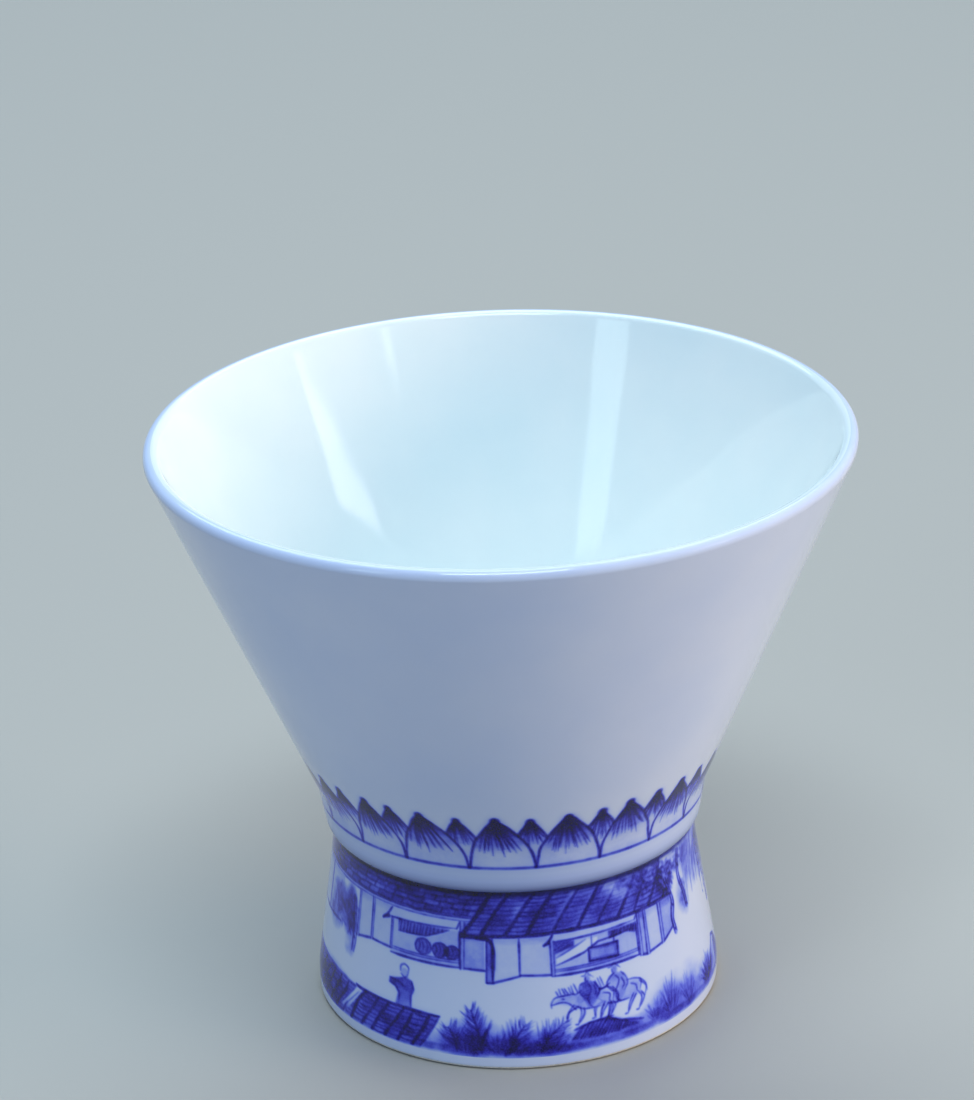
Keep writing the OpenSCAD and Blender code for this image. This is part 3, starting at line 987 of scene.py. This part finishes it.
def paint_double_post(sheet):
    """The walls at the nearer building's left, and the double post with its bracket."""
    wall(sheet, [(-2.8, 10.1), (0.15, 10.9)], RIGHT_EAVE)
    wall(sheet, [(0.15, 10.9), (3.4, 10.7)], RIGHT_EAVE)
    inked(sheet, [(0.15, RIGHT_EAVE), (0.15, 10.9)], 0.22, 1.5)
    post(sheet, -3.1, 10.05, RIGHT_EAVE, 0.7, 1.8)
    sheet.wash(box(-3.4, -2.8, 10.1, 15), 0.6, mottled=0.8)
    bracket = [(-4.6, 15.1), (-3.3, 14.95), (-2.8, 14.2), (-2.75, 12.6), (-2.8, 10.2)]
    sheet.line(bracket, 0.42, 1.9, thin=(0.8, 0.3))
    sheet.line([(-3.5, 10.05), (-2.7, 10)], 0.2, 1.5)


def paint_right_stall(sheet):
    """The open stall of the nearer building, with a cloth held back and a hanging board."""
    stall(sheet, 3.6, 14.4, 10.55, 14.4, [], lattice=False)
    screen = [(4, 13), (6.2, 13.6), (6.2, 14.3), (4, 14.3)]
    sheet.wash(screen, 0.6, soft=0.15)
    hatching(sheet, screen, 2, 0.5, 0.15, 0.9)
    sheet.clear([(4.1, 11.7), (7.4, 12.8), (9, 13.6), (9, 14.1), (7.6, 14), (4.1, 12.4)])
    inked(sheet, [(4.1, 11.65), (7.3, 12.7), (9, 13.5), (13.4, 13.8)], 0.2, 1.5)
    inked(sheet, [(4.1, 12.5), (7.6, 14.1)], 0.14, 1)
    cloth = [(10.4, 13.5), (10.4, 14.3), (13.9, 14.3), (13.8, 13.3), (12.6, 13.7)]
    sheet.wash(cloth, 1)
    hatching(sheet, cloth, 0.3, 0.4, 0.18, 1.1)
    board = [(7.8, 11.5), (11.3, 11.4), (11.35, 12.9), (7.85, 13)]
    sheet.over(board, 0.75, soft=0.08, mottled=0.6)
    sheet.clear([(8.15, 11.85), (10.9, 11.75), (10.95, 12.6), (8.2, 12.7)], left=0.6)
    inked(sheet, board + board[:1], 0.22, 1.7, thin=(1, 1))
    for x in (8.2, 11):
        inked(sheet, [(x, 13), (x, 14.3)], 0.13, 1.2)
    awning(sheet, 3.9, 14.3, 15.2, 0.85, 1.1)
    post(sheet, 3.7, 10.6, 14.5, 0.36)
    wall(sheet, [(14.3, 10.4), (15.4, 10.2)], RIGHT_EAVE, 0.3)
    wall(sheet, [(15.6, 10.3), (17.8, 10.6)], RIGHT_EAVE)
    wall(sheet, [(17.9, 10.6), (19.9, 11.6)], RIGHT_EAVE, 0.3)
    post(sheet, 14.4, 10.3, RIGHT_EAVE, 0.3)
    post(sheet, 15.4, 10.15, RIGHT_EAVE)
    post(sheet, 17.8, 10.5, RIGHT_EAVE)


def paint_front_trees(sheet):
    """Trees beside the street: leafy ones over the roof at the right, a blurred one at the left."""
    trunk(sheet, [(20.2, 10.6), (19.9, 12.6), (20.4, 14.6), (19.4, 17.2)], 0.55, 1.6)
    trunk(sheet, [(23.3, 12.4), (23, 14.4), (22.3, 16.5), (22.6, 19.5)], 0.5, 1.4)
    for leaves in ((16.6, 18.6, 5.4, 3.2, 60, 0.65), (19.2, 17.4, 3.2, 3, 54, 0.95),
                   (21.6, 18.8, 4.4, 2.6, 36, 0.55), (13.8, 19.3, 4, 2, 26, 0.6),
                   (22.4, 14.2, 1.4, 3, 12, 0.5)):
        scribble(sheet, *leaves, slant=-0.8)
    haze(sheet, (24.4, 17.4, 2.2, 5.4, 0.5), (26.8, 17, 2, 6, 0.4), (29, 16.4, 2.2, 6.4, 0.35),
         (22.8, 13.2, 1.6, 2.6, 0.3))
    for k in range(16):
        x = 23.2 + k * 0.45
        hanging = [(x, 19.9), (x + 0.5, 17.6), (x + 0.2, sheet.vary(12.6, 16.4))]
        sheet.line(hanging, 0.3, sheet.vary(0.2, 0.55), thin=(1, 0.3), soft=0.16)

    haze(sheet, (-25, 13.6, 4.6, 3.4, 0.9), (-22.4, 13.6, 2.4, 5, 0.9), (-26.2, 11.6, 3.4, 2.2, 0.6),
         (-22, 10.2, 1.6, 3, 0.5))
    for leaves in ((-24.8, 14, 4.4, 3.4, 22, 0.7), (-22.2, 13.4, 2.4, 4.6, 26, 0.8),
                   (-25.8, 12.2, 4, 2.4, 14, 0.6)):
        scribble(sheet, *leaves, slant=-1.2)
    trunk(sheet, [(-21.2, 9.3), (-21.2, 11.6), (-21.6, 15.6)], 0.5, 1.1)


def paint_foreground(sheet):
    """Roofs, pines and grass along the bottom of the front."""
    far_roof = [(-37, NEAR_FOOT), (-22.2, NEAR_FOOT), (-20, 5.7), (-35.5, 5.9)]
    tiled_roof(sheet, far_roof, 0.62, 1.7, 0.5, 0.9, 1.3)
    haze(sheet, (-26, 3.6, 8, 4.2, 0.7), (-32, 3.8, 7, 4, 0.5))
    near_roof = [(-21.8, NEAR_FOOT), (-10.8, NEAR_FOOT), (-8.7, 5.7), (-18.6, 5.8)]
    tiled_roof(sheet, near_roof, 0.55, 1.9, 0.5, 0.85, 1.6)
    ridge = [(-22.6, 2.6), (-22, 2.4), (-19.4, 5.3), (-19.9, 5.7)]
    sheet.clear(ridge, left=0.15, soft=0.2)
    inked(sheet, [ridge[0], ridge[3]], 0.16, 0.9)
    inked(sheet, [ridge[1], ridge[2]], 0.16, 0.8)
    sheet.line([(-35.6, 5.95), (-29, 6), (-24, 5.9), (-20, 5.7)], 0.3, 1.1, soft=0.15)
    sheet.line([(-20, 5.9), (-18.8, 5.75), (-12, 5.75), (-8.6, 5.65)], 0.34, 1.6)
    sheet.line([(-8.65, 5.7), (-9.5, 3.8), (-10.8, 1.8)], 0.26, 1.4)

    haze(sheet, (-4.4, 3.2, 8, 3.4, 0.55), (-1, 3, 6, 2.6, 0.45), (3.4, 2.9, 5.4, 2.4, 0.5),
         (17.4, 3.8, 5.6, 4.2, 0.22), (21.6, 3.8, 4.4, 4, 0.2), (26.4, 3.2, 6, 3, 0.3))
    for clump in ((-5.6, 2.1, 5, 2.8, 18), (-2.4, 2.1, 4.6, 3, 18), (-0.2, 2.1, 4, 2.2, 14),
                  (3, 2.1, 5, 2.8, 22)):
        tuft(sheet, *clump)
    for clump in ((15.4, 2.4, 3.6, 2.8, 16), (17.6, 2.5, 4.2, 4.4, 24), (20.8, 2.4, 3.6, 3.8, 20),
                  (25.4, 2.3, 4.4, 2.6, 20)):
        tuft(sheet, *clump, 0.8)
    for pine in ((-4, 2.1, -1.2, 4.8, 19), (-6.6, 2.1, -1, 2.6, 9), (-1.2, 2.1, 1.8, 3.3, 13),
                 (2, 2.1, 2.5, 3, 12)):
        sprig(sheet, *pine)
    sheet.line([(-1.6, 1.95), (-0.9, 2.6), (-0.4, 3.7)], 0.45, 1.4, thin=(0.8, 0.2), soft=0.15)
    mound = [(5.3, 3.1), (6.4, 4.5), (9.4, 4.85), (11.3, 3.9), (12.8, 3.1), (9, 2.9)]
    sheet.wash(mound, 0.7, soft=0.25, mottled=0.8)
    hatching(sheet, mound, 0.7, 0.42, 0.2, 1.3)
    haze(sheet, (8.8, 3, 9, 1.8, 0.4))
    for stroke in ([(5.6, 4.1), (7.4, 4.75)], [(7.2, 4.6), (10, 4.8)], [(9.4, 4.7), (11.8, 3.7)],
                   [(11.2, 4), (13.6, 3.3)]):
        sheet.line(stroke, 0.24, 1.4, soft=0.08)


def paint_back_street(sheet):
    """The street round the back: hills, a willow and a bridge, two houses, and trees."""
    hills(sheet, 27, 46, 13.5, 6)
    hills(sheet, 84, 94.5, 13, 6.2)
    willow(sheet, 31, 9.4, 19.2, 4.6)
    bridge(sheet, 34.2, 44.6, 8.4, 2.4)
    walker(sheet, 39.3, 10.4, 4)
    scribble(sheet, 46.6, 12.5, 3.8, 5.6, 52, 1.1)

    long_house(sheet, 48.5, 60, 10.6, 15.4, ROOF_TOP, (48.7, 51.6, 54.6, 59.8))
    stall(sheet, 54.8, 59.6, 10.7, 14.3, [(56.3, 1.3, 1.2), (57.9, 1.5, 1.5)], lattice=False)
    awning(sheet, 55, 59.9, 15.1, 0.9, 1)
    roof = [(61.5, 14.2), (76.5, 14.3), (74, ROOF_TOP), (64.6, ROOF_TOP)]
    tiled_roof(sheet, roof, -0.6, 2.5, 0.55, 0.7, 1.6)
    sheet.line([(61, 14.35), (63, 14.1), (69, 14.25), (75, 14.1), (77, 14.5)], 0.4, 1.8, thin=(0.8, 0.8))
    wall(sheet, [(63, 9.8), (66, 10.2), (72, 10.2), (75.3, 9.9)], 14.1)
    for x in (63.1, 66, 69.2, 72.1, 75.2):
        post(sheet, x, 10, 14.1, 0.36)
    stall(sheet, 66.3, 71.9, 10.3, 13.4, [(67.5, 1.4, 1.4), (69.9, 1.2, 1.2), (71, 1, 1)])
    scribble(sheet, 79.4, 15.8, 4.6, 6, 66, 1.3)
    trunk(sheet, [(79.6, 9.6), (79.2, 11.6), (79.9, 14.2)], 0.6)
    fence(sheet, 81.2, 85.6, 10.6, 1.8)
    willow(sheet, 88.6, 9.8, 18.9, 4.4)


def paint_back_foreground(sheet):
    """Figures, rocks, a roof and grass in front of the street round the back."""
    walker(sheet, 52.5, 6, 4.3)
    walker(sheet, 55.4, 6.1, 4, -1)
    horse_and_rider(sheet, 71.5, 5, 5.2, 0.5)
    walker(sheet, 83.2, 5.6, 4.3)
    walker(sheet, 97.5, 6.9, 4.2, -1)
    rock(sheet, 29.5, 2.4, 4.2, 3.4)
    rock(sheet, 33.2, GROUND, 3, 2.2)
    roof = [(58.5, NEAR_FOOT), (70.5, NEAR_FOOT), (68.6, 5.6), (60.4, 5.7)]
    tiled_roof(sheet, roof, -0.5, 1.9, 0.5, 0.85, 1.6)
    inked(sheet, [(58.4, 1.8), (60.3, 5.7), (68.7, 5.6), (70.6, 1.8)], 0.34, 1.6)
    rock(sheet, 89.5, GROUND, 4.6, 3)
    for x, wide, tall, blades in ((26, 4.4, 3.2, 34), (37.2, 4.4, 3, 32), (47, 5, 3.8, 40),
                                  (50.2, 4.2, 3, 30), (55.8, 4.4, 3.4, 34), (73.8, 4.8, 3.6, 38),
                                  (76.8, 4.2, 2.8, 30), (86, 4.4, 3.2, 32), (92.6, 4.6, 3.4, 34)):
        tuft(sheet, x, GROUND, wide, tall, blades)
    for x, across, tall in ((46.2, 1.2, 4.4), (49.4, -1, 3.4), (73.4, 1.1, 4.4), (91.6, 1.2, 4.2),
                            (36.4, 1, 3.2)):
        sprig(sheet, x, GROUND, across, tall, 9)


def paint_village(sheet):
    """The whole scene, from the ground's shade to the line under the crease, which runs on into the crease as
    painted shade.
    """
    sheet.belt(1.8, 2.6, 0.6, soft=0.15)
    sheet.belt(1.9, 3.6, 0.4, soft=0.6)
    paint_back_street(sheet)
    paint_back_foreground(sheet)
    paint_left_shops(sheet)
    paint_near_roof(sheet)
    paint_double_post(sheet)
    paint_right_stall(sheet)
    paint_front_trees(sheet)
    walker(sheet, -12.9, 5.9, 4.6)
    horse_and_rider(sheet, 11.2, 4.9, 5.9, 0.4)
    horse_and_rider(sheet, 7.9, 5.1, 5.4, 0.85)
    paint_foreground(sheet)
    # the line at the top of the foot, carried up into the crease as painted shade
    sheet.belt(19.9, 20.8, 1.5, soft=0.15, mottled=0.6)


# ------------------------------------------------------------------ materials

# Display colours by the darkness of the cobalt
COBALT = [
    (0.0, (255, 255, 255)), (0.15, (210, 219, 251)), (0.35, (160, 172, 248)), (0.55, (112, 119, 236)),
    (0.75, (70, 63, 200)), (0.9, (38, 18, 138)), (1.0, (16, 3, 70)),
]

# The tint of glaze pooling under and over the ridge, from just below the crease to just below the neck,
# mixed with painted shade: darkest in the crease and under the ridge's lower edge, lighter over its middle
POOL_AND_SHADE_LOW = (CREASE_Z - 0.95) * MM
POOL_AND_SHADE_HIGH = (NECK_Z - 1.2) * MM
POOL_AND_SHADE = [
    (0.0, (255, 255, 255)), (0.19, (112, 120, 162)), (0.30, (150, 158, 194)), (0.42, (196, 205, 232)),
    (0.54, (224, 231, 250)), (0.70, (234, 240, 253)), (0.85, (226, 233, 251)), (1.0, (255, 255, 255)),
]

# The glaze's light colour, and the deeper one of its soft clouds. The outside's pair is the same glaze,
# made darker and bluer than the inside's as painted shade
INSIDE_WHITE = (245, 248, 244), (233, 243, 241)
OUTSIDE_SHADED_WHITE = (220, 228, 249), (207, 219, 247)

# Scales of the noises, as blobs in a metre
CLOUDS = 55
DIMPLES = 60
TOAST = 110
SHEEN = 180
GRIT = 3500
SPECKLE = 5200


def wire(tree, socket, value):
    """Joins a socket to another node's output, or sets it to a value."""
    if isinstance(value, bpy.types.NodeSocket):
        tree.links.new(value, socket)
    else:
        socket.default_value = value


def node(tree, kind, **inputs):
    """A new node, with its named inputs set to values or joined to other nodes' outputs."""
    made = tree.nodes.new(kind)
    for name, value in inputs.items():
        wire(tree, made.inputs[name.replace("_", " ")], value)
    return made


def noise(tree, place, scale, detail=2.0):
    """Soft noise over the object, from 0 to 1."""
    return node(tree, "ShaderNodeTexNoise", Vector=place, Scale=scale, Detail=detail).outputs[0]


def product(tree, a, b):
    """One value times another."""
    made = tree.nodes.new("ShaderNodeMath")
    made.operation = "MULTIPLY"
    wire(tree, made.inputs[0], a)
    wire(tree, made.inputs[1], b)
    return made.outputs[0]


def scaled(tree, value, **ends):
    """A value spread from one pair of ends to another."""
    return node(tree, "ShaderNodeMapRange", Value=value, **ends).outputs[0]


def ramp(tree, value, stops):
    """A display colour by a value, from stops of place and colour."""
    made = node(tree, "ShaderNodeValToRGB", Fac=value)
    elements = made.color_ramp.elements
    elements[0].position, elements[1].position = stops[0][0], stops[-1][0]
    for place, _ in stops[1:-1]:
        elements.new(place)
    for element, (_, colour) in zip(elements, stops):
        element.color = srgb(*colour)
    return made.outputs[0]


def tinted(tree, factor, colour, tint):
    """A colour multiplied by a tint."""
    made = tree.nodes.new("ShaderNodeMix")
    made.data_type = "RGBA"
    made.blend_type = "MULTIPLY"
    wire(tree, made.inputs[0], factor)
    wire(tree, made.inputs[6], colour)
    wire(tree, made.inputs[7], tint)
    return made.outputs[2]


def new_material(name):
    """A new material, its tree, and the place on the object that its noises go by."""
    material = bpy.data.materials.new(name)
    material.use_nodes = True
    tree = material.node_tree
    return material, tree, tree.nodes.new("ShaderNodeTexCoord").outputs["Object"]


def surface(tree, colour, roughness, strength, distance, height):
    """Wires the shader's colour, its roughness, and a bump of that strength, distance and height."""
    shader = tree.nodes["Principled BSDF"]
    bump = node(tree, "ShaderNodeBump", Strength=strength, Distance=distance, Height=height).outputs[0]
    for name, value in (("Base Color", colour), ("Roughness", roughness), ("Normal", bump)):
        wire(tree, shader.inputs[name], value)
    return shader


def glazed(name, white, pool_and_shade=False, painted=False):
    """Porcelain under clear glaze, in a softly clouded white. It may have the tint of glaze pooling round the
    ridge with painted shade there, and cobalt.
    """
    material, tree, place = new_material(name)
    colour = ramp(tree, noise(tree, place, CLOUDS, 3), [(0.3, white[0]), (0.75, white[1])])
    if pool_and_shade:
        # the pooling glaze's tint and painted shade round the ridge, by height
        height = node(tree, "ShaderNodeSeparateXYZ", Vector=place).outputs[2]
        share = scaled(tree, height, From_Min=POOL_AND_SHADE_LOW, From_Max=POOL_AND_SHADE_HIGH)
        colour = tinted(tree, 1.0, colour, ramp(tree, share, POOL_AND_SHADE))
    if painted:
        tone = node(tree, "ShaderNodeAttribute")
        tone.attribute_name = "cobalt"
        speckle = scaled(tree, noise(tree, place, SPECKLE, 1), To_Min=0.86, To_Max=1.12)
        colour = tinted(tree, 1.0, colour, ramp(tree, product(tree, tone.outputs["Fac"], speckle), COBALT))
    roughness = scaled(tree, noise(tree, place, SHEEN), To_Min=0.04, To_Max=0.11)
    shader = surface(tree, colour, roughness, 0.25, 0.6 * MM, noise(tree, place, DIMPLES, 1))
    shader.inputs["IOR"].default_value = 1.5
    return material


def bare(name, tone):
    """Unglazed fired porcelain: matt, faintly gritty, and warmer where the kiln has toasted it."""
    material, tree, place = new_material(name)
    grit = noise(tree, place, GRIT)
    warmer = (tone[0] - 4, tone[1] - 9, tone[2] - 16)
    colour = ramp(tree, noise(tree, place, TOAST, 3), [(0.35, tone), (0.7, warmer)])
    grey = ramp(tree, grit, [(0.3, (205, 200, 192)), (0.6, (255, 255, 255))])
    colour = tinted(tree, 0.5, colour, grey)
    surface(tree, colour, scaled(tree, grit, To_Min=0.6, To_Max=0.9), 0.4, 0.06 * MM, grit)
    return material


# ------------------------------------------------------------------ pieces

COAT_TURNS = 420
HOLLOW_TURNS = 360
PETAL_TURNS = 960
SCENE_TURNS = 1240
COAT_STEP = 0.5
INSIDE_STEP = 0.6
PAINT_STEP = 0.1


def cover(piece, material):
    """Makes that a piece's only material."""
    piece.data.materials.clear()
    piece.data.materials.append(material)


def dress(piece, material, slot, *nodes):
    """Gives a piece its material, and has it stand for CAD nodes by hiding them. The slot is not used."""
    cover(piece, material)
    if nodes:
        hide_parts(*nodes)


def make_coats():
    """The plain glaze: inside the bowl, on the outside between the painted bands, and in the hollow."""
    inside = turned("inside_glaze_coat", [INSIDE], COAT_TURNS, INSIDE_STEP)
    dress(inside, glazed("inside_glaze", INSIDE_WHITE), "inside_glaze", "inside_glaze")
    # its darker, bluer white is painted shade, outside and in the hollow, with the ridge's tint and painted
    # shade
    white = glazed("outside_glaze", OUTSIDE_SHADED_WHITE, pool_and_shade=True)
    plain = [stretch(OUTSIDE, None, PETAL_HIGH), stretch(OUTSIDE, PETAL_LOW, SCENE_HIGH),
             stretch(OUTSIDE, SCENE_LOW, BARE_H)]
    dress(turned("outside_glaze_coat", plain, COAT_TURNS, COAT_STEP), white, "outside_glaze", "outside_glaze")
    hollow = turned("foot_hollow_coat", [stretch(HOLLOW, BARE_H, None)], HOLLOW_TURNS, COAT_STEP)
    dress(hollow, white, "outside_glaze", "foot_hollow_glaze")


def make_painting():
    """The band of petals, and the village scene in three bands."""
    # the same painted shade in its white and round the ridge, under the cobalt
    painted = glazed("painted_porcelain", OUTSIDE_SHADED_WHITE, pool_and_shade=True, painted=True)
    sheet = Sheet(PETAL_LOW, PETAL_HIGH, seed=11)
    paint_petals(sheet)
    band = turned("petal_band", [stretch(OUTSIDE, PETAL_HIGH, PETAL_LOW)], PETAL_TURNS, PAINT_STEP)
    sheet.wrap(band, "cobalt")
    dress(band, painted, "petal_cobalt", "petal_band_painting", "petal_base_line")

    sheet = Sheet(SCENE_LOW, SCENE_HIGH, seed=7)
    paint_village(sheet)
    for name, high, low in zip(("village_upper", "village_middle", "village_lower"), SEAMS, SEAMS[1:]):
        band = turned(name, [stretch(OUTSIDE, high, low)], SCENE_TURNS, PAINT_STEP)
        sheet.wrap(band, "cobalt")
        nodes = ("village_scene_painting", "foot_top_line") if high == SCENE_HIGH else ()
        dress(band, painted, "scene_cobalt", *nodes)


def make_clay():
    """The bare clay of the CAD's own pieces, which shows on the foot ring."""
    tones = {"bowl": (238, 236, 230), "luting_slip": (230, 224, 214), "foot": (240, 238, 232)}
    for name, tone in tones.items():
        cover(bpy.data.objects[name], bare(name + "_clay", tone))


make_coats()
make_painting()
make_clay()
make_floor()
make_lights()
make_camera()
